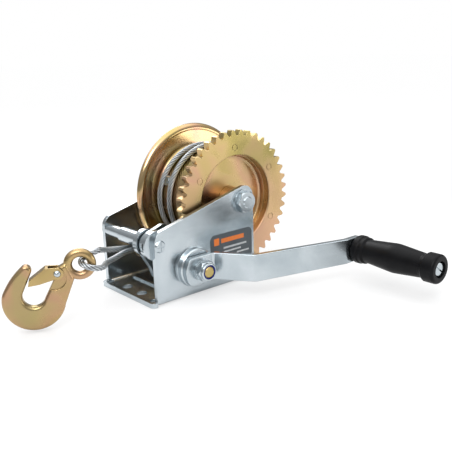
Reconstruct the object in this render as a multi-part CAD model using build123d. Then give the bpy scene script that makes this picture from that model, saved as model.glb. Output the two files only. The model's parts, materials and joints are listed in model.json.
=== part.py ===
from build123d import *
import os
from math import acos, atan2, cos, degrees, pi, radians, sin, tan

# Boat trailer winch, in millimetres.
# X runs along the base, from the rope side (-X) to the drum side (+X).
# Y runs across the frame: the crank side is at -Y, and Y = 0 is midway between the side plates.
# Z = 0 is the underside of the base, and X = 0 is the front edge of the side plates.

# --- frame channel ---
FRAME_WIDTH = 80.0
SHEET = 4.0
BEND_R = 6.0
FRAME_LENGTH = 106.0
FRONT_HEIGHT = 61.0
REAR_HEIGHT = 88.5
PLATE_CORNER_R = 10.0
LIP = 5.0
LIP_CORNER_R = 6.0
RELIEF_R = 3.2
RELIEF_Y = 33.0
BASE_HOLE_R = 4.5
BASE_HOLE_X = 3.5
BASE_HOLE_SPACING_X = 80.0
BASE_HOLE_SPACING_Y = 22.0
RIB_X = 22.0
RIB_WIDTH = 8.0
RIB_RISE = 1.8
RIB_LENGTH = 52.0
BOSS_BASE_R = 17.0
BOSS_TOP_R = 15.5
BOSS_RISE = 5.0
BOSS_HOLLOW_R = 12.0

OUTER = FRAME_WIDTH / 2
INNER = OUTER - SHEET

# --- gear pair: crank pinion and drum gear ---
MODULE = 2.86
PRESSURE_ANGLE = radians(28)
GEAR_TEETH = 41
PINION_TEETH = 10
TOOTH_PLAY = 0.16
ADDENDUM = 0.8 * MODULE
DEDENDUM = 0.95 * MODULE
CENTRE_DISTANCE = MODULE * (GEAR_TEETH + PINION_TEETH) / 2
CENTRE_LINE = radians(39.1)
SHAFT_X, SHAFT_Z = 38.0, 26.0
DRUM_X = SHAFT_X + CENTRE_DISTANCE * cos(CENTRE_LINE)
DRUM_Z = SHAFT_Z + CENTRE_DISTANCE * sin(CENTRE_LINE)

# --- drum ---
GEAR_FRONT, GEAR_BACK = -31.9, -25.4
GEAR_BORE_R = 39.2
WELD_COUNT = 6
WELD_CIRCLE_R = 46.0
WELD_R = 3.2
WELD_DEPTH = 0.5
DRUM_SHEET = 2.0
CORE_R = 42.4
CUP_R = CORE_R - 2 * DRUM_SHEET
CUP_FLOOR = -20.0
NEAR_DISC_R = 53.0
FLANGE_R = 62.5
FLANGE_FRONT = 26.2
FLANGE_EDGE = 31.5
WEB_FRONT = 20.0
HUB_R = 11.0
HUB_END = 33.0
AXLE_SLEEVE_R = 8.0
AXLE_R = 5.0
AXLE_END = -46.8
AXLE_NUT = 4.8
AXLE_WASHER = 1.2
RUNNING_GAP = 0.05

# --- rope ---
ROPE_R = 2.4
ROPE_LAY_R = CORE_R + ROPE_R + 0.05
WRAP_QUARTERS = (0.0, 2.0, 4.5, 6.5, 9.0, 11.0, 13.5, 21.0, 23.2)
STRAND_OFFSET = 2.6
FERRULE_X, FERRULE_Z = 12.0, 40.4
FERRULE_LENGTH = 14.0
FERRULE_WALL = 1.1
SOCKET_R = ROPE_R + 0.5

# --- drive shaft and crank ---
SHAFT_R = 6.0
THREAD_R = 4.8
SHAFT_FLAT = 9.0
BUSH_R = 8.5
BUSH_FLANGE_R = 11.0
BUSH_FLANGE = 1.0
SHAFT_FAR_END = 43.5
BOSS_FACE = -(OUTER + BOSS_RISE)
ARM_THICK = 5.0
ARM_INNER_FACE = -46.4
ARM_OUTER_FACE = ARM_INNER_FACE - ARM_THICK
ARM_HUB_R = 16.5
ARM_HALF_WIDTH = 11.7
ARM_END_R = 11.0
CRANK_THROW = 133.0
GRIP_X = SHAFT_X + CRANK_THROW
ARM_END_FACE = -105.4
ARM_BENDS = ((51.5, 0.0), (72.0, -30.0))
ARM_LAST_BEND_X = 156.5
ARM_BEND_R = 6.0
SHAFT_NEAR_END = -61.2
PINION_FRONT, PINION_BACK = -33.2, -24.4
RATCHET_BACK = -18.2
RATCHET_FRONT = -23.2
RATCHET_TEETH = 20
RATCHET_TIP_R, RATCHET_ROOT_R = 17.0, 14.0

# --- grip ---
GRIP_START, GRIP_END = -105.7, -188.2
GRIP_COLLAR_R = 12.5
GRIP_SHOULDER_R = 11.7
GRIP_NECK_R = 10.3
GRIP_BELLY_R = 12.8
GRIP_BELLY_Y = -146.0
GRIP_BOLT_R = 4.2
GRIP_RECESS_R = 7.0
GRIP_RECESS = 4.5

# --- tie rod and pawl ---
ROD_X, ROD_Z = 5.0, 50.5
ROD_R = 4.5
ROD_THICK_R = 5.2
ROD_SHOULDER = 13.3
STAKE_R = 5.2
SLEEVE_R = 6.5
PAWL_DISC_R = 11.5
PAWL_REST = 10.0
CONTACT_ANGLE = 185.0
LEVER_FAR, LEVER_NEAR = -24.6, -28.0
CUP_OUTER_R, CUP_INNER_R = 12.3, 11.2
CUP_RIM = -29.4

# --- hook, drawn in its own plane: u to the right, v up, from the centre of its eye ---
HOOK_EYE = (-60.1, -28.5, 49.4)
HOOK_YAW = 28.0
EYE_MID_R = 8.85
EYE_TUBE_R = 3.3
HOOK_HALF = 4.3
HOOK_ROUND = 2.7
BOWL = (-35.4, -24.7)
BOWL_R = 23.3
THROAT = (-35.2, -21.2)
THROAT_R = 8.25
TIP = (-39.1, -0.9)
TIP_R = 4.1
PIN = (-16.9, -4.9)
PIN_R = 1.6
LATCH_INNER_HALF = 3.0
LATCH_SHEET = 1.1
POCKET = (-19.6, -8.2)
POCKET_R = 9.3

HOOK_PLANE = Plane(
    origin=HOOK_EYE,
    x_dir=(cos(radians(HOOK_YAW)), -sin(radians(HOOK_YAW)), 0),
    z_dir=(-sin(radians(HOOK_YAW)), -cos(radians(HOOK_YAW)), 0),
)


# --- helpers ---

def polar(centre, radius, angle):
    """The point at radius and angle (degrees) from centre."""
    return (centre[0] + radius * cos(radians(angle)), centre[1] + radius * sin(radians(angle)))


def across(profile, y_far, y_near):
    """A profile drawn in (X, Z), made solid from y_far towards the crank side at y_near."""
    plane = Plane(origin=(0, y_far, 0), x_dir=(1, 0, 0), z_dir=(0, -1, 0))
    return extrude(plane * profile, amount=y_far - y_near)


def disc(x, z, radius, y_far, y_near, bore=0.0):
    """A disc or ring whose axis is parallel to Y."""
    profile = Pos(x, z) * Circle(radius)
    if bore:
        profile -= Pos(x, z) * Circle(bore)
    return across(profile, y_far, y_near)


def hexagon(x, z, across_flats, y_far, y_near, bore):
    """A hexagon nut or bolt head with its corners turned off at the outer end."""
    profile = Pos(x, z) * RegularPolygon(across_flats / 2, 6, major_radius=False)
    solid = across(profile, y_far, y_near)
    crown = Pos(x, (y_far + y_near) / 2, z) * Rot(90, 0, 0) * Cylinder(across_flats * 0.565, abs(y_far - y_near))
    solid &= chamfer(crown.edges().filter_by(GeomType.CIRCLE), 1.0)
    if bore:
        solid -= disc(x, z, bore, y_far + 1, y_near - 1)
    return solid


def turned(x, z, outline):
    """A solid of revolution about the Y-parallel axis through (x, z); outline is a face of (radius, y)."""
    return revolve(Pos(x, 0, z) * outline, Axis((x, 0, z), (0, 1, 0)), 360)


def outline(*points):
    """A closed face through the points."""
    return make_face(Polyline(*points, close=True))


def rope_along(path, is_frenet=False):
    """A round rope along a path."""
    start = Plane(origin=path @ 0, z_dir=path % 0)
    return sweep(start * Circle(ROPE_R), path=path, is_frenet=is_frenet)


# --- frame ---

def frame_channel():
    section = Rectangle(FRAME_WIDTH, 2 * REAR_HEIGHT)
    section = fillet(section.vertices(), BEND_R)
    hollow = Rectangle(2 * INNER, 2 * (REAR_HEIGHT - SHEET))
    section -= fillet(hollow.vertices(), BEND_R - SHEET)
    channel = extrude(Plane.YZ * Pos(0, REAR_HEIGHT) * section, amount=FRAME_LENGTH)
    side = outline((0, 0), (FRAME_LENGTH, 0), (FRAME_LENGTH, REAR_HEIGHT), (0, FRONT_HEIGHT))
    side = fillet(side.vertices().sort_by(Axis.Y)[-2:], PLATE_CORNER_R)
    channel &= across(side, OUTER, -OUTER)

    lip = Pos(0, 0) * Rectangle(2 * LIP, FRAME_WIDTH)
    lip = fillet(lip.vertices().sort_by(Axis.X)[:2], LIP_CORNER_R - 2)
    channel += extrude(lip, amount=SHEET) - Pos(LIP, 0, 0) * Box(2 * LIP, 2 * FRAME_WIDTH, 4 * SHEET)

    channel += rib(0) - Pos(RIB_X, 0, -SHEET) * Box(4 * RIB_WIDTH, 2 * RIB_LENGTH, 2 * SHEET)
    channel -= rib(-SHEET)
    channel += boss()
    channel -= disc(SHAFT_X, SHAFT_Z, BUSH_R, OUTER + 1, -OUTER - BOSS_RISE - 1)
    channel -= disc(SHAFT_X, SHAFT_Z, BOSS_HOLLOW_R, -INNER + 1, BOSS_FACE + SHEET)
    channel -= disc(ROD_X, ROD_Z, ROD_R, OUTER + 1, -OUTER - 1)
    channel -= disc(DRUM_X, DRUM_Z, AXLE_R + 0.2, OUTER + 1, -OUTER - 1)
    for side_y in (-RELIEF_Y, RELIEF_Y):
        channel -= Pos(0.5, side_y, 0) * Cylinder(RELIEF_R, 4 * SHEET)
    for x in (BASE_HOLE_X, BASE_HOLE_X + BASE_HOLE_SPACING_X):
        for y in (-BASE_HOLE_SPACING_Y / 2, BASE_HOLE_SPACING_Y / 2):
            channel -= Pos(x, y, 0) * Cylinder(BASE_HOLE_R, 4 * SHEET)
    return channel


def rib(lift):
    """The stiffening rib across the base; at lift 0 it is the raised form, lower down the groove under it."""
    top = SHEET + RIB_RISE + lift
    foot = lift
    section = outline(
        (-RIB_WIDTH / 2, foot),
        (RIB_WIDTH / 2, foot),
        (RIB_WIDTH / 2, top - RIB_RISE),
        (RIB_WIDTH / 4, top),
        (-RIB_WIDTH / 4, top),
        (-RIB_WIDTH / 2, top - RIB_RISE),
    )
    plane = Plane(origin=(RIB_X, RIB_LENGTH / 2, 0), x_dir=(1, 0, 0), z_dir=(0, -1, 0))
    return extrude(plane * section, amount=RIB_LENGTH)


def boss():
    """The pressed cone round the drive shaft on the crank-side plate."""
    half = outline(
        (0, -INNER),
        (BOSS_BASE_R - SHEET, -INNER),
        (BOSS_BASE_R, -OUTER),
        (BOSS_TOP_R + 1, BOSS_FACE + 1),
        (BOSS_TOP_R, BOSS_FACE),
        (0, BOSS_FACE),
    )
    return turned(SHAFT_X, SHAFT_Z, half)


def shaft_bushes():
    near = disc(SHAFT_X, SHAFT_Z, BUSH_R, BOSS_FACE + SHEET, BOSS_FACE, SHAFT_R + RUNNING_GAP)
    near += disc(
        SHAFT_X, SHAFT_Z, BUSH_FLANGE_R, BOSS_FACE + SHEET + BUSH_FLANGE, BOSS_FACE + SHEET, SHAFT_R + RUNNING_GAP
    )
    far = disc(SHAFT_X, SHAFT_Z, BUSH_R, OUTER, INNER, SHAFT_R + RUNNING_GAP)
    far += disc(SHAFT_X, SHAFT_Z, BUSH_FLANGE_R, OUTER + BUSH_FLANGE, OUTER, SHAFT_R + RUNNING_GAP)
    return Compound([near, far])


def tie_rod():
    rod = disc(ROD_X, ROD_Z, ROD_R, OUTER, -OUTER)
    rod += disc(ROD_X, ROD_Z, ROD_THICK_R, INNER, ROD_SHOULDER)
    for face, way in ((OUTER, 1), (-OUTER, -1)):
        head = Pos(ROD_X, face, ROD_Z) * Rot(-90 * way, 0, 0) * Cone(
            STAKE_R, STAKE_R - 1.2, 1.6, align=(Align.CENTER, Align.CENTER, Align.MIN)
        )
        star = Pos(ROD_X, face + way * 1.7, ROD_Z) * (
            Box(2 * STAKE_R, 1.2, 1.0) + Box(1.0, 1.2, 2 * STAKE_R)
        )
        rod += head - star
    return rod


def pawl_spring_cup():
    cup = disc(ROD_X, ROD_Z, CUP_OUTER_R, CUP_RIM, -INNER, CUP_INNER_R)
    cup += disc(ROD_X, ROD_Z, CUP_OUTER_R, -INNER + 1.2, -INNER, ROD_R)
    slot_width = 7.0
    slot = Pos(ROD_X - CUP_OUTER_R, CUP_RIM - 1.5, ROD_Z) * Box(6, 6.5, slot_width)
    return cup - slot


def axle_bolt():
    bolt = disc(DRUM_X, DRUM_Z, AXLE_R, OUTER + 1.8, AXLE_END)
    bolt = chamfer(bolt.edges().sort_by(Axis.Y)[0], 0.8)
    return bolt + hexagon(DRUM_X, DRUM_Z, 17.0, OUTER + 8.2, OUTER + 1.8, 0)


def axle_sleeve():
    return disc(DRUM_X, DRUM_Z, AXLE_SLEEVE_R, INNER, -INNER, AXLE_R + RUNNING_GAP)


def axle_washers():
    near = disc(DRUM_X, DRUM_Z, 10.5, -OUTER, -OUTER - AXLE_WASHER, AXLE_R + 0.3)
    far = disc(DRUM_X, DRUM_Z, 10.5, OUTER + 1.8, OUTER, AXLE_R + 0.3)
    return Compound([near, far])


def axle_nut():
    return hexagon(DRUM_X, DRUM_Z, 17.0, -OUTER - AXLE_WASHER, -OUTER - AXLE_WASHER - AXLE_NUT, AXLE_R)


def label():
    left, right, low, high = 56.5, 103.5, 20.0, 48.0
    sheet = Pos((left + right) / 2, (low + high) / 2) * RectangleRounded(right - left, high - low, 5.0)
    sheet -= Pos(SHAFT_X, SHAFT_Z) * Circle(BOSS_BASE_R + 1)
    return across(sheet, -OUTER, -OUTER - 0.3)


# --- gears ---

def gear_face(x, z, teeth, phase):
    """An involute spur gear's outline, with a tooth centred at the angle phase (radians)."""
    pitch_r = MODULE * teeth / 2
    base_r = pitch_r * cos(PRESSURE_ANGLE)
    tip_r = pitch_r + ADDENDUM
    root_r = pitch_r - DEDENDUM
    flank_start = max(base_r + 0.01, root_r)
    half_at_pitch = pi / (2 * teeth) - TOOTH_PLAY / (2 * pitch_r)

    def involute(angle):
        return tan(angle) - angle

    def half_width(radius):
        return half_at_pitch + involute(PRESSURE_ANGLE) - involute(acos(base_r / radius))

    def at(radius, angle):
        return (x + radius * cos(angle), z + radius * sin(angle))

    steps = 4
    radii = [flank_start + (tip_r - flank_start) * k / steps for k in range(steps + 1)]
    edges = []
    for tooth in range(teeth):
        middle = phase + 2 * pi * tooth / teeth
        rising = [at(r, middle - half_width(r)) for r in radii]
        falling = [at(r, middle + half_width(r)) for r in reversed(radii)]
        root_in = at(root_r, middle - half_width(flank_start))
        root_out = at(root_r, middle + half_width(flank_start))
        next_in = at(root_r, middle + 2 * pi / teeth - half_width(flank_start))
        if root_r < flank_start:
            edges.append(Line(root_in, rising[0]))
        edges.append(Spline(*rising))
        edges.append(Line(rising[-1], falling[0]))
        edges.append(Spline(*falling))
        if root_r < flank_start:
            edges.append(Line(falling[-1], root_out))
        edges.append(Line(root_out, next_in))
    return make_face(Wire(edges))


def drum_gear():
    phase = CENTRE_LINE + pi + pi / GEAR_TEETH
    gear = across(gear_face(DRUM_X, DRUM_Z, GEAR_TEETH, phase), GEAR_BACK, GEAR_FRONT)
    gear -= disc(DRUM_X, DRUM_Z, GEAR_BORE_R, GEAR_BACK + 1, GEAR_FRONT - 1)
    gear = fillet(gear.edges().filter_by(GeomType.CIRCLE).sort_by(Axis.Y)[0], 1.2)
    for mark in range(WELD_COUNT):
        x, z = polar((DRUM_X, DRUM_Z), WELD_CIRCLE_R, 31 + 360 * mark / WELD_COUNT)
        gear -= disc(x, z, WELD_R, GEAR_FRONT + WELD_DEPTH, GEAR_FRONT - 1, WELD_R - 0.8)
    return gear


def pinion():
    gear = across(gear_face(SHAFT_X, SHAFT_Z, PINION_TEETH, CENTRE_LINE), PINION_BACK, PINION_FRONT)
    gear += disc(SHAFT_X, SHAFT_Z, 9.0, PINION_FRONT, BOSS_FACE + SHEET + BUSH_FLANGE + 0.1)
    return gear - disc(SHAFT_X, SHAFT_Z, SHAFT_R, PINION_BACK + 1, BOSS_FACE)


def ratchet_wheel():
    points = []
    for tooth in range(RATCHET_TEETH):
        angle = CONTACT_ANGLE + 360 * tooth / RATCHET_TEETH
        points.append(polar((SHAFT_X, SHAFT_Z), RATCHET_TIP_R, angle))
        points.append(polar((SHAFT_X, SHAFT_Z), RATCHET_ROOT_R, angle))
    wheel = across(outline(*points), RATCHET_BACK, RATCHET_FRONT)
    wheel += disc(SHAFT_X, SHAFT_Z, 9.0, RATCHET_FRONT, PINION_BACK)
    return wheel - disc(SHAFT_X, SHAFT_Z, SHAFT_R, RATCHET_BACK + 1, PINION_BACK - 1)


# --- drum ---

def drum_near_disc():
    """Deep-drawn disc: a flange welded behind the gear, then a cup that the gear's bore opens into."""
    back = GEAR_BACK + DRUM_SHEET
    profile = outline(
        (HUB_R, CUP_FLOOR),
        (CUP_R, CUP_FLOOR),
        (CUP_R, GEAR_BACK),
        (NEAR_DISC_R, GEAR_BACK),
        (NEAR_DISC_R, back),
        (CUP_R + DRUM_SHEET, back),
        (CUP_R + DRUM_SHEET, CUP_FLOOR + DRUM_SHEET),
        (HUB_R, CUP_FLOOR + DRUM_SHEET),
    )
    corners = profile.vertices()
    inner = [v for v in corners if abs(v.X - CUP_R) < 0.01 and abs(v.Y - CUP_FLOOR) < 0.01]
    rounded = [v for v in corners if abs(v.X - CUP_R - DRUM_SHEET) < 0.01 and v.Y > CUP_FLOOR]
    profile = fillet(inner, 3.0)
    profile = fillet([v for v in profile.vertices() for r in rounded if (v.center() - r.center()).length < 0.01], 5.0)
    return turned(DRUM_X, DRUM_Z, profile)


def drum_far_half():
    """Core tube, flared out into the far flange, whose edge is rolled away from the rope."""
    face = FLANGE_FRONT
    front = Polyline((CORE_R - DRUM_SHEET, GEAR_BACK + DRUM_SHEET), (CORE_R, GEAR_BACK + DRUM_SHEET), (CORE_R, face - 3))
    flare = ThreePointArc((CORE_R, face - 3), (CORE_R + 0.9, face - 0.9), (CORE_R + 3, face))
    slope = Line((CORE_R + 3, face), (FLANGE_R - 6, face + 1.2))
    roll = ThreePointArc((FLANGE_R - 6, face + 1.2), (FLANGE_R - 1.6, face + 2.4), (FLANGE_R, FLANGE_EDGE))
    edge = Line((FLANGE_R, FLANGE_EDGE), (FLANGE_R - DRUM_SHEET, FLANGE_EDGE))
    roll_back = ThreePointArc(
        (FLANGE_R - DRUM_SHEET, FLANGE_EDGE), (FLANGE_R - 3.2, face + 3.9), (FLANGE_R - 6.3, face + 3.2)
    )
    back = Polyline(
        (FLANGE_R - 6.3, face + 3.2),
        (CORE_R - DRUM_SHEET + 2, face + DRUM_SHEET),
        (CORE_R - DRUM_SHEET, face),
        (CORE_R - DRUM_SHEET, GEAR_BACK + DRUM_SHEET),
    )
    return turned(DRUM_X, DRUM_Z, make_face([*front.edges(), flare, slope, roll, edge, roll_back, *back.edges()]))


def drum_far_web():
    return disc(DRUM_X, DRUM_Z, CORE_R - DRUM_SHEET, WEB_FRONT + DRUM_SHEET, WEB_FRONT, HUB_R)


def drum_hub_tube():
    return disc(DRUM_X, DRUM_Z, HUB_R, HUB_END, -HUB_END, AXLE_SLEEVE_R + RUNNING_GAP)


# --- rope ---

def lead_angle():
    """The slope, in degrees, of the rope between the ferrule and the underside of the drum."""
    dx, dz = DRUM_X - FERRULE_X, DRUM_Z - FERRULE_Z
    distance = (dx * dx + dz * dz) ** 0.5
    return degrees(atan2(dz, dx) - (pi / 2 - acos(ROPE_LAY_R / distance)))


def rope_wraps():
    """Loose turns round the core, from the point where the lead leaves it to the far flange."""
    start = 270 + lead_angle()
    per_quarter = 3
    points = []
    for step in range(per_quarter * (len(WRAP_QUARTERS) - 1) + 1):
        quarter, part = divmod(step, per_quarter)
        here = WRAP_QUARTERS[quarter]
        there = WRAP_QUARTERS[min(quarter + 1, len(WRAP_QUARTERS) - 1)]
        x, z = polar((DRUM_X, DRUM_Z), ROPE_LAY_R, start + 90 * step / per_quarter)
        points.append((x, here + (there - here) * part / per_quarter, z))
    return rope_along(Spline(*points))


def rope_anchor():
    plate = Pos(CORE_R + 1.2, 0, 0) * Box(3.4, 8.0, 9.0)
    plate = fillet(plate.edges().group_by(Axis.X)[-1], 1.2)
    plate -= Rot(90, 0, 0) * Cylinder(CORE_R, 20)
    plate -= Pos(CORE_R + 2.9, 0, 0) * Rot(0, 90, 0) * Cylinder(2.6, 1.2)
    return on_core(plate)


def rope_anchor_screw():
    head = Pos(CORE_R + 2.9, 0, 0) * Rot(0, 90, 0) * Cylinder(2.5, 1.2)
    head -= Pos(CORE_R + 3.4, 0, 0) * Box(1.0, 0.8, 6.0)
    return on_core(head)


def on_core(shape):
    """Moves a shape made at the core's +X side to the anchor's place on the core."""
    anchor_angle, anchor_y = 157.0, 12.8
    return Pos(DRUM_X, anchor_y, DRUM_Z) * Rot(0, -anchor_angle, 0) * shape


def rope_lead():
    """The straight rope, from inside the ferrule to where it would start to bend on to the drum."""
    slope = lead_angle()
    distance = ((DRUM_X - FERRULE_X) ** 2 + (DRUM_Z - FERRULE_Z) ** 2) ** 0.5
    to_tangent = (distance**2 - ROPE_LAY_R**2) ** 0.5
    clear = ((ROPE_LAY_R + 2 * ROPE_R + 0.3) ** 2 - ROPE_LAY_R**2) ** 0.5
    plane = Plane(
        origin=(FERRULE_X, 0, FERRULE_Z),
        x_dir=(0, 1, 0),
        z_dir=(cos(radians(slope)), 0, sin(radians(slope))),
    )
    return extrude(plane.offset(FERRULE_LENGTH - 2) * Circle(ROPE_R), amount=to_tangent - clear - FERRULE_LENGTH + 2)


def rope_ferrule():
    slope = lead_angle()
    plane = Plane(
        origin=(FERRULE_X, 0, FERRULE_Z),
        x_dir=(0, 1, 0),
        z_dir=(cos(radians(slope)), 0, sin(radians(slope))),
    )
    half = ROPE_R + FERRULE_WALL
    sleeve = extrude(plane * SlotOverall(2 * (STRAND_OFFSET + half), 2 * half), amount=FERRULE_LENGTH)
    sleeve = fillet(sleeve.edges().group_by(Axis.X)[-1], 0.8)
    for y in (-STRAND_OFFSET, STRAND_OFFSET):
        sleeve -= Pos(FERRULE_X, y, FERRULE_Z) * Sphere(SOCKET_R)
    for along in (5.0, 9.5):
        groove = plane.offset(along) * (SlotOverall(30, 20) - SlotOverall(2 * (STRAND_OFFSET + half) - 1, 2 * half - 1))
        sleeve -= extrude(groove, amount=1.6)
    return sleeve - extrude(plane.offset(FERRULE_LENGTH - 2) * Circle(ROPE_R), amount=4)


def rope_eye():
    """The loop: out of the ferrule, under the tie rod, through the hook's eye and back."""
    round_the_ring = ((12.6, 5.8, -9.3), (6.6, 4.5, -6.8), (1.1, 1.5, -1.4), (3.0, 0.1, 4.1), (8.4, -1.9, 6.4))
    path = Spline(
        (FERRULE_X, STRAND_OFFSET, FERRULE_Z),
        (0.0, 2.3, 41.7),
        (-8.0, -0.7, 43.4),
        (-32.5, -12.5, 50.5),
        *[hook_point(*place) for place in round_the_ring],
        hook_point(14.2, -3.7, 3.1),
        (-34.7, -22.6, 42.2),
        (-16.6, -11.0, 41.2),
        (-3.0, -3.8, 40.8),
        (FERRULE_X, -STRAND_OFFSET, FERRULE_Z),
    )
    loop = rope_along(path, is_frenet=True)
    for y in (-STRAND_OFFSET, STRAND_OFFSET):
        loop += Pos(FERRULE_X, y, FERRULE_Z) * Sphere(ROPE_R)
    return loop


# --- crank ---

def drive_shaft():
    shaft = disc(SHAFT_X, SHAFT_Z, SHAFT_R, SHAFT_FAR_END, BOSS_FACE - 1.3)
    flats = Pos(SHAFT_X, SHAFT_Z) * (Circle(SHAFT_R) & Rectangle(2 * SHAFT_R, SHAFT_FLAT))
    shaft += across(flats, BOSS_FACE - 1.3, ARM_OUTER_FACE)
    thread = disc(SHAFT_X, SHAFT_Z, THREAD_R, ARM_OUTER_FACE, SHAFT_NEAR_END)
    shaft += chamfer(thread.edges().sort_by(Axis.Y)[0], 0.9)
    shaft = chamfer(shaft.edges().sort_by(Axis.Y)[-1], 0.8)
    return shaft - disc(SHAFT_X, SHAFT_Z, SHAFT_R + 1, 42.4, 41.2, SHAFT_R - 1)


def shaft_clip():
    ring = disc(SHAFT_X, SHAFT_Z, 9.5, 42.4, 41.2, SHAFT_R - 1)
    return ring - Pos(SHAFT_X, 41.8, SHAFT_Z - 8) * Box(6, 3, 10)


def crank_arm():
    middle = ARM_INNER_FACE - ARM_THICK / 2
    last_middle = ARM_END_FACE + ARM_THICK / 2
    reach = 30.0
    path = FilletPolyline(
        (SHAFT_X - reach, middle),
        *[(x, middle + dy) for x, dy in ARM_BENDS],
        (ARM_LAST_BEND_X, last_middle),
        (GRIP_X + reach, last_middle),
        radius=ARM_BEND_R,
    )
    strip = extrude(Pos(0, 0, SHAFT_Z - reach / 2) * trace(path, line_width=ARM_THICK), amount=reach)
    hub = Pos(SHAFT_X, SHAFT_Z) * (Circle(ARM_HUB_R) & Rectangle(3 * ARM_HUB_R, 2 * ARM_HALF_WIDTH))
    end = Pos(GRIP_X, SHAFT_Z) * Circle(ARM_END_R)
    arm = strip & across(make_hull([*hub.edges(), *end.edges()]), 0, GRIP_START)
    arm = chamfer_long_edges(arm)
    flats = Pos(SHAFT_X, SHAFT_Z) * (Circle(SHAFT_R) & Rectangle(2 * SHAFT_R, SHAFT_FLAT))
    arm -= across(flats, 0, ARM_OUTER_FACE - 1)
    return arm - disc(GRIP_X, SHAFT_Z, GRIP_BOLT_R, last_middle + reach, last_middle - reach)


def chamfer_long_edges(arm):
    """Takes the sharp corner off the strip's four long edges where the kernel can."""
    edges = [e for e in arm.edges() if abs(e.center().Z - SHAFT_Z) > 4]
    return chamfer(edges, 0.5)


def crank_washers():
    inner = disc(SHAFT_X, SHAFT_Z, 10.0, BOSS_FACE - 0.1, ARM_INNER_FACE, SHAFT_R)
    outer = disc(SHAFT_X, SHAFT_Z, 9.4, ARM_OUTER_FACE, ARM_OUTER_FACE - 1.6, THREAD_R)
    return Compound([inner, outer])


def crank_nut():
    seat = ARM_OUTER_FACE - 1.6
    nut = hexagon(SHAFT_X, SHAFT_Z, 16.0, seat, seat - 5.6, THREAD_R)
    nut += disc(SHAFT_X, SHAFT_Z, 9.0, seat, seat - 1.4, THREAD_R)
    collar = disc(SHAFT_X, SHAFT_Z, 7.4, seat - 5.6, seat - 7.9, THREAD_R)
    nut += fillet(collar.edges().filter_by(GeomType.CIRCLE).sort_by(Axis.Y)[0], 1.0)
    return nut - disc(SHAFT_X, SHAFT_Z, 6.1, seat - 5.8, seat - 12)


def crank_nut_ring():
    seat = ARM_OUTER_FACE - 1.6
    return disc(SHAFT_X, SHAFT_Z, 6.1, seat - 5.8, seat - 7.6, THREAD_R)


def grip_bolt():
    floor = GRIP_END + GRIP_RECESS
    bolt = disc(GRIP_X, SHAFT_Z, GRIP_BOLT_R, ARM_END_FACE + ARM_THICK + 8.0, floor)
    head = disc(GRIP_X, SHAFT_Z, 5.6, floor - 0.15, floor - 3.2)
    head = fillet(head.edges().filter_by(GeomType.CIRCLE).sort_by(Axis.Y)[0], 0.8)
    slot = Pos(GRIP_X, floor - 3.2, SHAFT_Z) * Rot(0, 35, 0) * Box(12, 2.4, 1.3)
    bolt += disc(GRIP_X, SHAFT_Z, GRIP_BOLT_R, floor, floor - 1)
    return bolt + (head - slot)


def grip_nut():
    face = ARM_END_FACE + ARM_THICK
    return hexagon(GRIP_X, SHAFT_Z, 13.0, face + 6.5, face, GRIP_BOLT_R)


def grip():
    bore = GRIP_BOLT_R + RUNNING_GAP
    floor = GRIP_END + GRIP_RECESS
    far = Polyline(
        (GRIP_BELLY_R, GRIP_BELLY_Y),
        (GRIP_NECK_R, GRIP_END + 15.5),
        (GRIP_NECK_R + 0.2, GRIP_END + 13.5),
        (GRIP_COLLAR_R - 0.2, GRIP_END + 11.0),
        (GRIP_COLLAR_R - 0.2, GRIP_END),
        (GRIP_RECESS_R, GRIP_END),
        (GRIP_RECESS_R, floor),
        (bore, floor),
    )
    near = Polyline(
        (bore, floor),
        (bore, GRIP_START),
        (GRIP_COLLAR_R - 1.0, GRIP_START),
        (GRIP_COLLAR_R, GRIP_START - 2.0),
        (GRIP_COLLAR_R, GRIP_START - 6.0),
        (GRIP_SHOULDER_R, GRIP_START - 7.0),
        (GRIP_SHOULDER_R, GRIP_START - 10.5),
        (GRIP_NECK_R, GRIP_START - 12.0),
        (GRIP_BELLY_R, GRIP_BELLY_Y),
    )
    body = make_face([*far.edges(), *near.edges()])
    soft = [v for v in body.vertices() if v.X > GRIP_RECESS_R + 0.1 and abs(v.Y - GRIP_BELLY_Y) > 0.1]
    body = fillet([v for v in soft if abs(v.Y - GRIP_END) < 0.1], 2.5)
    belly = [v for v in body.vertices() if abs(v.Y - GRIP_BELLY_Y) < 0.1]
    return turned(GRIP_X, SHAFT_Z, fillet(belly, 30.0))


# --- pawl ---

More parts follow.
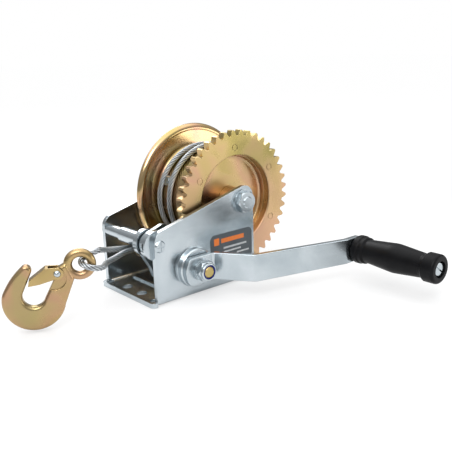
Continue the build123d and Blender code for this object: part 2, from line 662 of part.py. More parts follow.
def pawl():
    """Sleeve on the tie rod, a hooked plate for the ratchet wheel, a web in front and a thumb lever."""
    pivot = (ROD_X, ROD_Z)
    centre = (SHAFT_X, SHAFT_Z)
    nose_angle = CONTACT_ANGLE + 1.0
    tip = polar(centre, RATCHET_ROOT_R + 0.7, nose_angle)
    seat = polar(centre, RATCHET_TIP_R + 2.4, nose_angle)
    nose_under = polar(centre, RATCHET_TIP_R + 0.3, nose_angle + 13)
    plate = outline(
        polar(pivot, PAWL_DISC_R, 190),
        (ROD_X + 6.0, ROD_Z - 22.0),
        (ROD_X + 10.5, ROD_Z - 30.0),
        nose_under,
        tip,
        seat,
        (ROD_X + 11.4, ROD_Z - 3.0),
    )
    plate += Pos(*pivot) * Circle(PAWL_DISC_R)
    hook = across(plate, RATCHET_BACK, RATCHET_FRONT)
    hook = hook.rotate(Axis((ROD_X, 0, ROD_Z), (0, 1, 0)), PAWL_REST)

    lever = make_hull([
        *(Pos(*pivot) * Circle(PAWL_DISC_R - 2)).edges(),
        *(Pos(ROD_X + 12.5, ROD_Z + 8.8) * Circle(5.4)).edges(),
    ])
    body = hook + across(lever, LEVER_FAR, LEVER_NEAR)
    body += disc(ROD_X, ROD_Z, SLEEVE_R, ROD_SHOULDER - 0.2, LEVER_NEAR - 1.0)
    web_face = Face(Wire(Polyline((0.3, -1.0, 47.4), (7.6, RATCHET_FRONT, 28.4), (0.3, RATCHET_FRONT, 46.4), close=True)))
    body += extrude(web_face, amount=3.0, dir=(0.926, 0, 0.378))
    return body - disc(ROD_X, ROD_Z, ROD_R + RUNNING_GAP, OUTER, -OUTER)


def pawl_spring():
    wire_r = 0.75
    coil_r = 9.0
    start, turns, pitch = -34.0, 2.25, 1.75
    path = Helix(pitch, pitch * turns, coil_r, center=(ROD_X, start, ROD_Z), direction=(0, 1, 0))
    coil = sweep(Plane(origin=path @ 0, z_dir=path % 0) * Circle(wire_r), path=path)
    for end, arm in ((path @ 1, (0, 1, 0)),):
        coil += extrude(Plane(origin=end, z_dir=arm) * Circle(wire_r), amount=LEVER_NEAR - end.Y)
    return coil


# --- hook and latch ---

def hook_point(u, v, n):
    """A point given in the hook's own plane, in the part's frame."""
    return tuple(HOOK_PLANE.from_local_coords(Vector(u, v, n)))


def hook():
    bowl_start = polar(BOWL, BOWL_R, -12)
    bowl_end = polar(BOWL, BOWL_R, 165)
    throat_start = polar(THROAT, THROAT_R, 158)
    throat_end = polar(THROAT, THROAT_R, -20)
    tip_out = polar(TIP, TIP_R, 137)
    tip_in = polar(TIP, TIP_R, -15)
    shoulder, neck = (-9.9, 2.9), (-4.6, -10.1)
    notch_low, notch_high = (-19.2, -8.6), (-20.0, -2.7)
    body = make_face([
        Line(neck, bowl_start),
        ThreePointArc(bowl_start, polar(BOWL, BOWL_R, -90), bowl_end),
        ThreePointArc(bowl_end, (-51.8, -8.4), tip_out),
        ThreePointArc(tip_out, polar(TIP, TIP_R, 60), tip_in),
        Line(tip_in, throat_start),
        ThreePointArc(throat_start, polar(THROAT, THROAT_R, -90), throat_end),
        Line(throat_end, notch_low),
        Line(notch_low, notch_high),
        Line(notch_high, shoulder),
        Line(shoulder, neck),
    ])
    rounding = {
        bowl_start: 8.0,
        bowl_end: 8.0,
        throat_start: 4.0,
        throat_end: 3.0,
        tip_out: 3.0,
        tip_in: 2.5,
        notch_low: 2.0,
        notch_high: 1.5,
        shoulder: 1.5,
        neck: 1.5,
    }
    for corner, radius in rounding.items():
        nearest = min(body.vertices(), key=lambda v: abs(v.X - corner[0]) + abs(v.Y - corner[1]))
        body = fillet(nearest, radius)
    solid = extrude(body, amount=HOOK_HALF, both=True)
    long_edges = [e for e in solid.edges() if abs(abs(e.center().Z) - HOOK_HALF) < 0.01]
    solid = fillet(long_edges, HOOK_ROUND)
    for side in (-1, 1):
        solid -= Pos(*POCKET, side * (HOOK_HALF + LATCH_INNER_HALF - 0.15)) * Cylinder(POCKET_R, 2 * HOOK_HALF)
    solid += Torus(EYE_MID_R, EYE_TUBE_R)
    solid -= Pos(*PIN, 0) * Cylinder(PIN_R, 4 * HOOK_HALF)
    return HOOK_PLANE * solid


def latch_pin():
    reach = LATCH_INNER_HALF + LATCH_SHEET + 0.15
    pin = Cylinder(PIN_R, 2 * reach)
    for side in (-1, 1):
        dome = Pos(0, 0, side * (reach - 1.0)) * Sphere(2.9)
        pin += dome & Pos(0, 0, side * (reach + 1.5)) * Cylinder(4, 3)
    return HOOK_PLANE * Pos(*PIN, 0) * pin


def latch():
    top = (-25.4, 0.1)
    tip_top = (-37.7, -8.6)
    tip_low = (-38.5, -12.8)
    shape = outline(top, tip_top, tip_low, (-30.1, -11.9), (-19.6, -9.3), (-14.9, -3.1), (-18.0, -0.4))
    shape += Pos(*PIN) * Circle(4.6)
    inner = outline((-24.3, -1.0), (-36.8, -9.7), (-37.4, -20.6), (-8.2, -20.6), (-8.2, 4.1), (-17.5, 4.1))
    body = extrude(shape, amount=LATCH_INNER_HALF + LATCH_SHEET, both=True)
    body -= extrude(inner, amount=LATCH_INNER_HALF, both=True)
    return HOOK_PLANE * (body - Pos(*PIN, 0) * Cylinder(PIN_R + RUNNING_GAP, 4 * HOOK_HALF))


def latch_spring():
    coil = Helix(1.1, 4.4, 1.7, center=(-23.6, -6.8, -2.2), direction=(0, 0, 1))
    spring = sweep(Plane(origin=coil @ 0, z_dir=coil % 0) * Circle(0.45), path=coil)
    return HOOK_PLANE * spring


PARTS = {
    "frame": frame_channel,
    "shaft_bushes": shaft_bushes,
    "tie_rod": tie_rod,
    "pawl_spring_cup": pawl_spring_cup,
    "axle_bolt": axle_bolt,
    "axle_sleeve": axle_sleeve,
    "axle_washers": axle_washers,
    "axle_nut": axle_nut,
    "label": label,
    "rope_lead": rope_lead,
    "rope_ferrule": rope_ferrule,
    "drum_gear": drum_gear,
    "drum_near_disc": drum_near_disc,
    "drum_far_half": drum_far_half,
    "drum_far_web": drum_far_web,
    "drum_hub_tube": drum_hub_tube,
    "rope_wraps": rope_wraps,
    "rope_anchor": rope_anchor,
    "rope_anchor_screw": rope_anchor_screw,
    "drive_shaft": drive_shaft,
    "pinion": pinion,
    "ratchet_wheel": ratchet_wheel,
    "shaft_clip": shaft_clip,
    "crank_arm": crank_arm,
    "crank_washers": crank_washers,
    "crank_nut": crank_nut,
    "crank_nut_ring": crank_nut_ring,
    "grip_bolt": grip_bolt,
    "grip_nut": grip_nut,
    "grip": grip,
    "pawl": pawl,
    "pawl_spring": pawl_spring,
    "rope_eye": rope_eye,
    "hook": hook,
    "latch_pin": latch_pin,
    "latch_spring": latch_spring,
    "latch": latch,
}

os.makedirs("parts", exist_ok=True)
for name, make in PARTS.items():
    export_step(make(), f"parts/{name}.step")
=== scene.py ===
import json
import math

import bpy
import numpy as np
from mathutils import Matrix, Vector


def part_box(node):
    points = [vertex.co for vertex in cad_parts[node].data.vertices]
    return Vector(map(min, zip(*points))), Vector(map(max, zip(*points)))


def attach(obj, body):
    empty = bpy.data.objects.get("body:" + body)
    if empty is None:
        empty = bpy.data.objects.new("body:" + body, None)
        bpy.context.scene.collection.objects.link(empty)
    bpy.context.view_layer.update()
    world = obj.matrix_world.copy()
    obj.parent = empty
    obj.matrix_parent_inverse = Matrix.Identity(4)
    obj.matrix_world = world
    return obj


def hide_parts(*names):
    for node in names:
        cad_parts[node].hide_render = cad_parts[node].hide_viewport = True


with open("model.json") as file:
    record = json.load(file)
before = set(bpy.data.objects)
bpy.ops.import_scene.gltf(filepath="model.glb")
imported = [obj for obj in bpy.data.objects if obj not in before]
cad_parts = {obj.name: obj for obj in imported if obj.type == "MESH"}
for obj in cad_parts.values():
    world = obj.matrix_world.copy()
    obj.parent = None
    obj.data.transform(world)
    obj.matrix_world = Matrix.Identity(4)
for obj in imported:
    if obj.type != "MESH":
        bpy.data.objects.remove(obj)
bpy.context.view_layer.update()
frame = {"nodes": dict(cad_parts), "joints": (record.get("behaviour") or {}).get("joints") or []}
NODES = frame["nodes"]
JOINTS = {joint["name"]: joint for joint in frame["joints"]}
MM = 0.001


# ---------------------------------------------------------------- node helpers

class Shader:
    """One procedural material, with short ways to add the nodes it is made of.

    Noise scales are per metre: a scale of 20 gives patches of about 50 mm.
    """

    def __init__(self, name):
        self.material = bpy.data.materials.new(name)
        self.material.use_nodes = True
        self.nodes = self.material.node_tree.nodes
        self.links = self.material.node_tree.links
        self.bsdf = self.nodes["Principled BSDF"]
        self.place = self.nodes.new("ShaderNodeTexCoord").outputs["Object"]
        self.rounding = self.nodes.new("ShaderNodeBevel")
        self.rounding.samples = 8

    def feed(self, socket, value):
        """Link an output to a socket, or set the socket to a number or a colour."""
        if isinstance(value, (int, float)):
            socket.default_value = value
        elif isinstance(value, tuple):
            socket.default_value = (*value, 1)
        else:
            self.links.new(value, socket)

    def noise(self, scale, detail=3.0, rough=0.55, distortion=0.0, stretch=(1, 1, 1), shift=0.0):
        mapping = self.nodes.new("ShaderNodeMapping")
        mapping.inputs["Scale"].default_value = stretch
        mapping.inputs["Location"].default_value = (shift, shift * 0.7, shift * 1.3)
        self.feed(mapping.inputs["Vector"], self.place)
        node = self.nodes.new("ShaderNodeTexNoise")
        node.inputs["Scale"].default_value = scale
        node.inputs["Detail"].default_value = detail
        node.inputs["Roughness"].default_value = rough
        node.inputs["Distortion"].default_value = distortion
        self.feed(node.inputs["Vector"], mapping.outputs["Vector"])
        return node.outputs["Fac"]

    def ramp(self, source, *stops):
        """Colours at positions from 0 to 1, blended in between."""
        node = self.nodes.new("ShaderNodeValToRGB")
        elements = node.color_ramp.elements
        while len(elements) < len(stops):
            elements.new(0.5)
        for element, (position, colour) in zip(elements, stops):
            element.position = position
            element.color = (*colour, 1)
        self.feed(node.inputs["Fac"], source)
        return node.outputs["Color"]

    def remap(self, source, low, high, from_low=0.3, from_high=0.7):
        """low to high, clamped, as the source runs over the range that noise mostly fills."""
        node = self.nodes.new("ShaderNodeMapRange")
        node.inputs["From Min"].default_value = from_low
        node.inputs["From Max"].default_value = from_high
        node.inputs["To Min"].default_value = low
        node.inputs["To Max"].default_value = high
        self.feed(node.inputs["Value"], source)
        return node.outputs["Result"]

    def math(self, operation, first, second):
        node = self.nodes.new("ShaderNodeMath")
        node.operation = operation
        self.feed(node.inputs[0], first)
        self.feed(node.inputs[1], second)
        return node.outputs["Value"]

    def mix(self, share, first, second):
        """The first colour, with a share of the second laid over it."""
        node = self.nodes.new("ShaderNodeMix")
        node.data_type = "RGBA"
        for socket, value in zip((node.inputs[0], node.inputs[6], node.inputs[7]), (share, first, second)):
            self.feed(socket, value)
        return node.outputs[2]

    def facing(self, blend):
        """0 where the surface faces the eye, 1 where it turns away."""
        node = self.nodes.new("ShaderNodeLayerWeight")
        node.inputs["Blend"].default_value = blend
        return node.outputs["Facing"]

    def hollow_shade(self, distance):
        """0 in crevices and 1 on open surfaces: the mask for painted shade in hollows."""
        node = self.nodes.new("ShaderNodeAmbientOcclusion")
        node.inputs["Distance"].default_value = distance
        node.samples = 8
        return node.outputs["AO"]

    def edges(self, strength):
        """strength on worn outside edges, 0 on flat faces."""
        geometry = self.nodes.new("ShaderNodeNewGeometry")
        dot = self.nodes.new("ShaderNodeVectorMath")
        dot.operation = "DOT_PRODUCT"
        self.feed(dot.inputs[0], self.rounding.outputs["Normal"])
        self.feed(dot.inputs[1], geometry.outputs["Normal"])
        return self.math("MULTIPLY", self.remap(dot.outputs["Value"], 1.0, 0.0, 0.72, 0.97), strength)

    def finish(self, colour, roughness, height, strength, depth, metallic=1.0, edge=0.5 * MM):
        """Set the surface: bump of a strength and depth from height, edges rounded by a radius."""
        self.rounding.inputs["Radius"].default_value = edge
        bump = self.nodes.new("ShaderNodeBump")
        bump.inputs["Strength"].default_value = strength
        bump.inputs["Distance"].default_value = depth
        self.feed(bump.inputs["Height"], height)
        self.feed(bump.inputs["Normal"], self.rounding.outputs["Normal"])
        self.feed(self.bsdf.inputs["Base Color"], colour)
        self.feed(self.bsdf.inputs["Roughness"], roughness)
        self.feed(self.bsdf.inputs["Metallic"], metallic)
        self.feed(self.bsdf.inputs["Normal"], bump.outputs["Normal"])
        return self.material


# ---------------------------------------------------------------- materials

ZINC_DULL = (0.42, 0.475, 0.505)
ZINC_CLEAR = (0.56, 0.61, 0.64)
ZINC_SPECK = (0.30, 0.34, 0.36)
ZINC_EDGE = (0.82, 0.84, 0.85)

OLIVE = (0.30, 0.25, 0.08)
STRAW = (0.50, 0.40, 0.13)
GOLD = (0.60, 0.43, 0.19)
ROSE = (0.60, 0.34, 0.22)
GREEN_GOLD = (0.44, 0.40, 0.16)
PALE_OLIVE = (0.46, 0.37, 0.14)
PALE_GOLD = (0.58, 0.43, 0.21)
PALE_ROSE = (0.58, 0.36, 0.24)
BLUSH = (0.68, 0.41, 0.27)
GRAZING_GOLD = (0.56, 0.39, 0.23)
BROWN_SHADE = (0.20, 0.145, 0.06)
GOLD_EDGE = (0.72, 0.58, 0.32)
# painted shade: the dark brown laid into the hollows of yellow zinc
GOLD_PAINTED_SHADE = (0.22, 0.17, 0.07)

STEEL = (0.42, 0.42, 0.43)
CUT_STEEL = (0.40, 0.39, 0.37)
SPRING_STEEL = (0.30, 0.30, 0.31)
CLIP_STEEL = (0.25, 0.25, 0.26)
BRONZE = (0.50, 0.36, 0.20)
STEEL_EDGE = (0.72, 0.72, 0.72)

WIRE_DULL = (0.40, 0.43, 0.45)
WIRE_CLEAR = (0.56, 0.58, 0.59)
# painted shade: the near black laid between the rope's wires and strands
WIRE_PAINTED_SHADE = (0.10, 0.11, 0.12)

NAVY, NAVY_PALE = (0.010, 0.014, 0.11), (0.020, 0.026, 0.17)
BLACK, BLACK_PALE = (0.003, 0.003, 0.0035), (0.006, 0.006, 0.007)
SLATE, SLATE_PALE = (0.050, 0.062, 0.072), (0.075, 0.090, 0.100)
LABEL_ORANGE = (0.80, 0.19, 0.02)
LABEL_PALE = (0.62, 0.64, 0.65)


def bright_zinc(name, tint=(1.0, 1.0, 1.0), shift=0.0, rough=0.22, edge=0.5 * MM):
    """Bluish silver plate with soft clouds, fine specks and polished edges."""
    s = Shader(name)
    clouds = s.noise(22, 3, 0.5, 0.6, shift=shift)
    specks = s.noise(420, 4, 0.65, shift=shift)
    streaks = s.noise(50, 2, 0.5, stretch=(1, 1, 4), shift=shift)
    dull, clear = (tuple(c * t for c, t in zip(tone, tint)) for tone in (ZINC_DULL, ZINC_CLEAR))
    colour = s.ramp(clouds, (0.32, dull), (0.68, clear))
    colour = s.mix(s.remap(specks, 0.0, 0.07), colour, ZINC_SPECK)
    colour = s.mix(s.edges(0.35), colour, ZINC_EDGE)
    roughness = s.math("ADD", s.remap(streaks, rough - 0.02, rough + 0.04), s.remap(specks, -0.01, 0.02))
    return s.finish(colour, roughness, specks, 0.04, 0.015 * MM, edge=edge)


def yellow_zinc(name, shift=0.0, rough=0.27, blush=0.5, shade=0.0):
    """Yellow passivated zinc: bands of olive, gold and rose, and a broad blush over them."""
    s = Shader(name)
    broad = s.noise(22, 1, 0.3, 0.5, shift=shift)
    narrow = s.noise(48, 1, 0.3, 0.6, shift=shift + 3.1)
    patches = s.noise(9, 1, 0.3, 0.4, shift=shift + 5.7)
    fine = s.noise(600, 3, 0.6, shift=shift)
    bands = s.ramp(broad, (0.30, OLIVE), (0.42, STRAW), (0.52, GOLD), (0.60, ROSE), (0.70, GREEN_GOLD))
    pale_bands = s.ramp(narrow, (0.35, PALE_OLIVE), (0.5, PALE_GOLD), (0.66, PALE_ROSE))
    colour = s.mix(0.35, bands, pale_bands)
    colour = s.mix(s.remap(patches, 0.0, blush, 0.42, 0.60), colour, BLUSH)
    colour = s.mix(s.remap(s.facing(0.35), 0.0, 0.35, 0.2, 1.0), colour, GRAZING_GOLD)
    colour = s.mix(shade, colour, BROWN_SHADE)
    colour = s.mix(s.edges(0.35), colour, GOLD_EDGE)
    # painted shade: hollows within 6 mm are darkened towards dark brown
    colour = s.mix(s.remap(s.hollow_shade(6 * MM), 0.35, 0.0, 0.2, 0.9), colour, GOLD_PAINTED_SHADE)
    roughness = s.math("ADD", s.remap(narrow, rough - 0.05, rough + 0.07), s.remap(fine, -0.01, 0.02))
    return s.finish(colour, roughness, fine, 0.04, 0.02 * MM)


def plain_steel(name, base=STEEL, rough=0.34, shift=0.0):
    """Machined or drawn metal without plating, darker in patches."""
    s = Shader(name)
    broad = s.noise(90, 4, 0.6, shift=shift)
    fine = s.noise(900, 3, 0.6, shift=shift)
    dark = tuple(0.62 * c for c in base)
    colour = s.ramp(broad, (0.3, dark), (0.7, base))
    colour = s.mix(s.edges(0.4), colour, STEEL_EDGE)
    return s.finish(colour, s.remap(broad, rough - 0.05, rough + 0.1), fine, 0.12, 0.05 * MM)


def wire_rope(name):
    """Galvanised wire, with painted shade between the wires and strands."""
    s = Shader(name)
    broad = s.noise(70, 3, 0.6)
    fine = s.noise(1500, 3, 0.6)
    colour = s.ramp(broad, (0.32, WIRE_DULL), (0.68, WIRE_CLEAR))
    # painted shade: grooves within 1.2 mm are darkened towards near black
    colour = s.mix(s.remap(s.hollow_shade(1.2 * MM), 0.85, 0.0, 0.25, 0.95), colour, WIRE_PAINTED_SHADE)
    return s.finish(colour, s.remap(fine, 0.30, 0.46), fine, 0.10, 0.03 * MM, edge=0.05 * MM)


def moulded(name, base, light, rough):
    """Moulded plastic with a fine grain, a little paler where it is rubbed."""
    s = Shader(name)
    fine = s.noise(1500, 4, 0.7)
    broad = s.noise(45, 3, 0.6)
    rubbed = tuple(min(1.0, 2.2 * c + 0.01) for c in light)
    colour = s.ramp(broad, (0.3, base), (0.75, light))
    colour = s.mix(s.edges(0.3), colour, rubbed)
    roughness = s.math("ADD", s.remap(broad, rough - 0.04, rough + 0.05), s.remap(fine, -0.04, 0.05))
    s.bsdf.inputs["Specular IOR Level"].default_value = 0.12
    return s.finish(colour, roughness, fine, 0.25, 0.08 * MM, metallic=0.0)


# left, right, bottom and top of each mark, as shares of the label's width and height
ORANGE_MARKS = ((0.08, 0.20, 0.66, 0.88), (0.25, 0.80, 0.70, 0.84))
PALE_LINES = ((0.30, 0.86, 0.50, 0.56), (0.30, 0.72, 0.38, 0.43), (0.62, 0.92, 0.26, 0.31))


def label_film(name):
    """Slate film with an orange block, an orange bar and thin pale lines: marks, not lettering."""
    s = Shader(name)
    low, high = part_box("label")
    axes = s.nodes.new("ShaderNodeSeparateXYZ")
    s.feed(axes.inputs["Vector"], s.place)
    across = s.remap(axes.outputs["X"], 0.0, 1.0, low.x, high.x)
    up = s.remap(axes.outputs["Z"], 0.0, 1.0, low.z, high.z)

    def band(value, start, end):
        return s.math("MULTIPLY", s.math("GREATER_THAN", value, start), s.math("LESS_THAN", value, end))

    def printed(marks):
        shape = 0.0
        for left, right, bottom, top in marks:
            mark = s.math("MULTIPLY", band(across, left, right), band(up, bottom, top))
            shape = s.math("MAXIMUM", shape, mark)
        return shape

    wear = s.noise(260, 4, 0.7)
    colour = s.ramp(s.noise(40, 3, 0.6), (0.3, SLATE), (0.7, SLATE_PALE))
    orange = s.math("MULTIPLY", printed(ORANGE_MARKS), s.remap(wear, 0.8, 1.0))
    colour = s.mix(orange, colour, LABEL_ORANGE)
    pale = s.math("MULTIPLY", printed(PALE_LINES), s.remap(wear, 0.55, 0.95))
    colour = s.mix(pale, colour, LABEL_PALE)
    return s.finish(colour, s.remap(wear, 0.30, 0.42), wear, 0.06, 0.03 * MM, metallic=0.0, edge=0.2 * MM)


SHEET_ZINC_NODES = ("frame", "crank_arm")
ZINC_NODES = (
    "frame", "tie_rod", "pawl_spring_cup", "axle_bolt", "axle_washers", "axle_nut", "crank_arm",
    "crank_washers", "crank_nut", "grip_bolt", "grip_nut", "pawl", "latch_pin", "rope_anchor",
    "rope_anchor_screw",
)
YELLOW_ZINC_NODES = {
    "drum_gear": dict(shift=0.0),
    "drum_near_disc": dict(shift=2.3),
    "drum_far_half": dict(shift=4.6, rough=0.20),
    "drum_far_web": dict(shift=6.9),
    "drum_hub_tube": dict(shift=9.2),
    "drive_shaft": dict(shift=11.5),
    "hook": dict(shift=13.8, blush=0.15, shade=0.38),
    "latch": dict(shift=16.1, blush=0.15, shade=0.30),
}


def node_looks():
    """The material of every CAD node that stays in sight."""
    looks = {}
    for order, node in enumerate(ZINC_NODES):
        edge = 0.5 * MM if node in SHEET_ZINC_NODES else 0.2 * MM
        looks[node] = bright_zinc(f"bright_zinc_{node}", shift=1.7 * order, edge=edge)
    for node, options in YELLOW_ZINC_NODES.items():
        looks[node] = yellow_zinc(f"yellow_zinc_{node}", **options)
    looks["rope_ferrule"] = bright_zinc("pressed_ferrule", (1.02, 1.02, 1.0), 9.0, 0.38)
    looks["axle_sleeve"] = plain_steel("turned_sleeve", shift=1.0)
    looks["pinion"] = plain_steel("cut_pinion", CUT_STEEL, shift=2.0)
    looks["ratchet_wheel"] = plain_steel("cut_ratchet", CUT_STEEL, shift=3.0)
    looks["shaft_clip"] = plain_steel("sprung_clip", CLIP_STEEL, 0.3, 4.0)
    looks["pawl_spring"] = plain_steel("spring_wire", SPRING_STEEL, 0.28, 5.0)
    looks["latch_spring"] = plain_steel("latch_spring_wire", SPRING_STEEL, 0.28, 6.0)
    looks["shaft_bushes"] = plain_steel("sintered_bronze", BRONZE, 0.42, 7.0)
    looks["crank_nut_ring"] = moulded("navy_nylon", NAVY, NAVY_PALE, 0.35)
    looks["grip"] = moulded("black_grip", BLACK, BLACK_PALE, 0.38)
    looks["label"] = label_film("label_film")
    return looks


for node, look in node_looks().items():
    slots = NODES[node].data.materials
    for index in range(len(slots)):
        slots[index] = look
    if not len(slots):
        slots.append(look)


# ---------------------------------------------------------------- stranded rope

STRANDS = 6
WIRES = 6
ROPE_R = 2.4 * MM
STRAND_R = ROPE_R / 3
LAY_LENGTH = 26 * MM
WIRE_LAY = 11 * MM
WIRE_GROOVE = 0.16
ROPE_LOOK = wire_rope("galvanised_rope")


def smooth_path(points, step):
    """A natural cubic spline through points, as places a step apart and their distances along it."""
    p = np.array(points, float)
    t = np.concatenate([[0], np.cumsum(np.linalg.norm(np.diff(p, axis=0), axis=1))])
    count = len(p)
    h = np.diff(t)
    matrix = np.eye(count)
    right = np.zeros((count, 3))
    for i in range(1, count - 1):
        matrix[i, i - 1 : i + 2] = h[i - 1], 2 * (h[i - 1] + h[i]), h[i]
        right[i] = 6 * ((p[i + 1] - p[i]) / h[i] - (p[i] - p[i - 1]) / h[i - 1])
    bend = np.linalg.solve(matrix, right)
    dense = np.linspace(0, t[-1], 60 * count)
    k = np.clip(np.searchsorted(t, dense) - 1, 0, count - 2)
    a = ((t[k + 1] - dense) / h[k])[:, None]
    b = 1 - a
    hh = (h[k] ** 2)[:, None]
    curve = a * p[k] + b * p[k + 1] + ((a**3 - a) * bend[k] + (b**3 - b) * bend[k + 1]) * hh / 6
    length = np.concatenate([[0], np.cumsum(np.linalg.norm(np.diff(curve, axis=0), axis=1))])
    even = np.linspace(0, length[-1], max(2, int(length[-1] / step) + 1))
    return np.column_stack([np.interp(even, length, curve[:, i]) for i in range(3)]), even


def carried_frame(path):
    """The path's direction and two sideways directions that do not twist along it."""
    tangent = np.gradient(path, axis=0)
    tangent /= np.linalg.norm(tangent, axis=1)[:, None]
    side = np.zeros_like(path)
    first = np.cross(tangent[0], (0.0, 0.0, 1.0))
    side[0] = first / np.linalg.norm(first)
    for i in range(1, len(path)):
        carried = side[i - 1] - tangent[i] * np.dot(side[i - 1], tangent[i])
        side[i] = carried / np.linalg.norm(carried)
    return tangent, side, np.cross(tangent, side)


def tube_faces(base, rings, sides):
    """Faces of a closed tube whose rings of vertices start at base."""
    faces = []
    for i in range(rings - 1):
        low, high = base + i * sides, base + (i + 1) * sides
        for j in range(sides):
            k = (j + 1) % sides
            faces.append((low + j, low + k, high + k, high + j))
    faces.append(tuple(base + j for j in reversed(range(sides))))
    faces.append(tuple(base + (rings - 1) * sides + j for j in range(sides)))
    return faces


def stranded_rope(name, path, along, sides):
    """Six strands laid round the path; each strand shows the six wires round its edge."""
    tangent, side, other = carried_frame(path)
    angle = np.linspace(0, 2 * math.pi, sides, endpoint=False)
    verts, faces = [], []
    for strand in range(STRANDS):
        lay = 2 * math.pi * (strand / STRANDS + along / LAY_LENGTH)
        out = np.cos(lay)[:, None] * side + np.sin(lay)[:, None] * other
        around = np.cross(tangent, out)
        centre = path + out * (ROPE_R - STRAND_R)
        wire_phase = -2 * math.pi * along / WIRE_LAY
        lobes = np.abs(np.cos(WIRES / 2 * (angle[None, :] - wire_phase[:, None])))
        radius = STRAND_R * (1 - WIRE_GROOVE + WIRE_GROOVE * lobes)
        cosine, sine = np.cos(angle)[None, :, None], np.sin(angle)[None, :, None]
        ring = centre[:, None, :] + radius[..., None] * (cosine * out[:, None, :] + sine * around[:, None, :])
        faces += tube_faces(len(verts), len(path), sides)
        verts.extend(map(tuple, ring.reshape(-1, 3)))
    mesh = bpy.data.meshes.new(name)
    mesh.from_pydata(verts, [], faces)
    mesh.polygons.foreach_set("use_smooth", [True] * len(mesh.polygons))
    mesh.materials.append(ROPE_LOOK)
    obj = bpy.data.objects.new(name, mesh)
    bpy.context.scene.collection.objects.link(obj)
    return obj


def strand_node(node, body, points, step, sides=18):
    """Stand a stranded rope in for a plain CAD rope, along the same path."""
    path, along = smooth_path(points, step)
    rope = stranded_rope(f"{node}_strands", path, along, sides)
    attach(rope, body)
    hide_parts(node)


def lead_points():
    """The middle and the two ends of the straight lead, from its CAD mesh."""
    places = np.array([v.co for v in NODES["rope_lead"].data.vertices], float)
    x = places[:, 0]
    middle_x = (x.min() + x.max()) / 2
    start, end = places[x < middle_x].mean(0), places[x > middle_x].mean(0)
    return [start, (start + end) / 2, end]


# how far the rope has moved across the drum at each quarter turn, in mm
WRAP_QUARTERS_Y = (0.0, 2.0, 4.5, 6.5, 9.0, 11.0, 13.5, 21.0, 23.2)
STEPS_PER_QUARTER = 12


def wrap_points(lead):
    """The turns on the drum, starting where the lead meets it."""
    low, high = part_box("rope_wraps")
    axis = Vector(JOINTS["drum_spin"]["pos_m"])
    lay_r = (high.z - low.z) / 2 - ROPE_R
    start, _, end = lead
    lead_slope = math.atan2(end[2] - start[2], end[0] - start[0])
    last = len(WRAP_QUARTERS_Y) - 1
    quarters = np.linspace(0, last, STEPS_PER_QUARTER * last + 1)
    angle = 1.5 * math.pi + lead_slope + quarters * math.pi / 2
    y = np.interp(quarters, range(last + 1), WRAP_QUARTERS_Y) * MM
    return np.column_stack([axis.x + lay_r * np.cos(angle), y, axis.z + lay_r * np.sin(angle)])


def eye_points():
    """Out of the ferrule, through the hook's eye and back; the path of the CAD rope eye."""
    root = Vector(JOINTS["rope_eye_swing"]["pos_m"])
    eye = Vector(JOINTS["hook_swing"]["pos_m"])
    toward = Vector(JOINTS["hook_swing"]["axis"])
    along_hook = Vector((-toward.y, toward.x, 0))
    strand_y = 2.6

    def by_root(x, y, z):
        return Vector((x, y, z)) * MM

    def by_hook(u, v, n):
        return eye + (along_hook * u + Vector((0, 0, 1)) * v + toward * n) * MM

    return [
        (root.x, strand_y * MM, root.z),
        by_root(0.0, 2.3, 41.7),
        by_root(-8.0, -0.7, 43.4),
        by_root(-32.5, -12.5, 50.5),
        by_hook(12.6, 5.8, -9.3),
        by_hook(6.6, 4.5, -6.8),
        by_hook(1.1, 1.5, -1.4),
        by_hook(3.0, 0.1, 4.1),
        by_hook(8.4, -1.9, 6.4),
        by_hook(14.2, -3.7, 3.1),
        by_root(-34.7, -22.6, 42.2),
        by_root(-16.6, -11.0, 41.2),
        by_root(-3.0, -3.8, 40.8),
        (root.x, -strand_y * MM, root.z),
    ]


lead = lead_points()
strand_node("rope_lead", "frame", lead, 0.7 * MM)
strand_node("rope_wraps", "drum", wrap_points(lead), 0.8 * MM)
strand_node("rope_eye", "rope_eye", eye_points(), 0.6 * MM, sides=24)


# ---------------------------------------------------------------- stage, light and camera

FLOOR_HALF = 6.0
FLOOR_DROP = 0.5 * MM
GLOW_SEEN = 0.62
GLOW_NEAR, GLOW_FAR = 0.10, 0.95
GLOW_FROM, GLOW_TO = 0.10, 0.50


def stage_floor():
    """A pale floor that glows a little, more so further out and to the camera, so it reads as white."""
    mesh = bpy.data.meshes.new("floor")
    corners = [(x * FLOOR_HALF, y * FLOOR_HALF, 0) for x, y in ((-1, -1), (1, -1), (1, 1), (-1, 1))]
    mesh.from_pydata(corners, [], [(0, 1, 2, 3)])
    s = Shader("pale_floor")
    s.feed(s.bsdf.inputs["Base Color"], s.ramp(s.noise(3, 2), (0.3, (0.80,) * 3), (0.7, (0.82,) * 3)))
    s.bsdf.inputs["Roughness"].default_value = 0.7
    s.bsdf.inputs["Specular IOR Level"].default_value = 0.2
    reach = s.nodes.new("ShaderNodeVectorMath")
    reach.operation = "LENGTH"
    s.feed(reach.inputs[0], s.place)
    seen = s.nodes.new("ShaderNodeLightPath").outputs["Is Camera Ray"]
    spread = s.remap(reach.outputs["Value"], GLOW_NEAR, GLOW_FAR, GLOW_FROM, GLOW_TO)
    blend = s.nodes.new("ShaderNodeMixShader")
    s.feed(blend.inputs[0], s.math("MAXIMUM", spread, s.math("MULTIPLY", seen, GLOW_SEEN)))
    s.feed(blend.inputs[1], s.bsdf.outputs[0])
    s.feed(blend.inputs[2], s.nodes.new("ShaderNodeEmission").outputs[0])
    s.feed(s.nodes["Material Output"].inputs["Surface"], blend.outputs[0])
    mesh.materials.append(s.material)
    obj = bpy.data.objects.new("floor", mesh)
    obj.location.z = -FLOOR_DROP
    bpy.context.scene.collection.objects.link(obj)


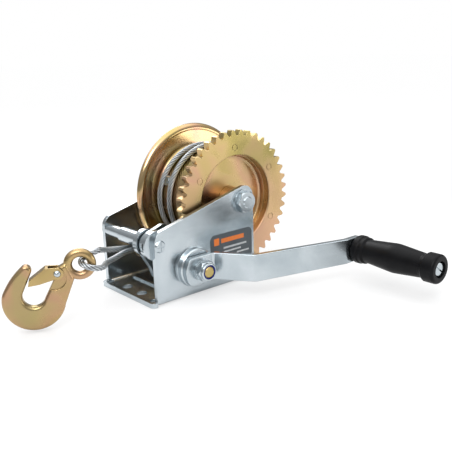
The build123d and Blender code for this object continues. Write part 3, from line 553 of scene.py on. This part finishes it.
def soft_light(name, place, target, size, power):
    data = bpy.data.lights.new(name, "AREA")
    data.shape = "RECTANGLE"
    data.size, data.size_y = size
    data.energy = power
    obj = bpy.data.objects.new(name, data)
    bpy.context.scene.collection.objects.link(obj)
    obj.location = place
    obj.rotation_euler = (Vector(target) - Vector(place)).to_track_quat("-Z", "Y").to_euler()


# brightness of the sky by the height of the direction looked in: 0 is level, 1 is straight up
SKY_LEVELS = ((0.0, 0.30), (0.35, 0.40), (0.60, 0.60), (0.82, 1.9))
SKY_TINT = (1.0, 1.005, 1.015)


def studio_world():
    """White to the camera; reflections and light see a bright top and a dimmer horizon."""
    world = bpy.data.worlds.new("studio")
    bpy.context.scene.world = world
    world.use_nodes = True
    nodes, links = world.node_tree.nodes, world.node_tree.links
    coords = nodes.new("ShaderNodeTexCoord")
    axes = nodes.new("ShaderNodeSeparateXYZ")
    links.new(coords.outputs["Generated"], axes.inputs["Vector"])
    sky = nodes.new("ShaderNodeValToRGB")
    while len(sky.color_ramp.elements) < len(SKY_LEVELS):
        sky.color_ramp.elements.new(0.5)
    for element, (position, level) in zip(sky.color_ramp.elements, SKY_LEVELS):
        element.position = position
        element.color = (*(level * share for share in SKY_TINT), 1)
    links.new(axes.outputs["Z"], sky.inputs["Fac"])
    seen = nodes.new("ShaderNodeLightPath").outputs["Is Camera Ray"]
    mix = nodes.new("ShaderNodeMix")
    mix.data_type = "RGBA"
    links.new(seen, mix.inputs[0])
    links.new(sky.outputs["Color"], mix.inputs[6])
    mix.inputs[7].default_value = (1, 1, 1, 1)
    links.new(mix.outputs[2], nodes["Background"].inputs["Color"])
    nodes["Background"].inputs["Strength"].default_value = 1.0


CAMERA_PLACE = Vector((-0.28586, -0.46719, 0.20780))
CAMERA_TARGET = Vector((0.07023, -0.04485, 0.05546))
CAMERA_ROLL = math.radians(-1.81)
CAMERA_LENS = 53.885
CAMERA_SENSOR = 36


def studio_camera():
    data = bpy.data.cameras.new("camera")
    data.sensor_width = CAMERA_SENSOR
    data.lens = CAMERA_LENS
    data.clip_start = 0.01
    camera = bpy.data.objects.new("camera", data)
    bpy.context.scene.collection.objects.link(camera)
    camera.location = CAMERA_PLACE
    level = (CAMERA_TARGET - CAMERA_PLACE).normalized().to_track_quat("-Z", "Y")
    camera.rotation_mode = "QUATERNION"
    camera.rotation_quaternion = level @ Matrix.Rotation(CAMERA_ROLL, 3, "Z").to_quaternion()
    bpy.context.scene.camera = camera


# name: place, target, width and height in metres, and power in watts
LIGHTS = {
    "key": ((-0.9, -0.8, 1.3), (0.04, -0.02, 0.05), (0.9, 0.9), 14),
    "fill": ((0.95, -1.0, 0.22), (0.05, -0.05, 0.07), (0.9, 0.26), 2.6),
    "rim": ((0.5, 1.2, 1.0), (0.05, 0.0, 0.06), (0.8, 0.5), 8),
}

stage_floor()
studio_world()
for name, settings in LIGHTS.items():
    soft_light(name, *settings)
studio_camera()
bpy.context.scene.view_settings.view_transform = "Standard"
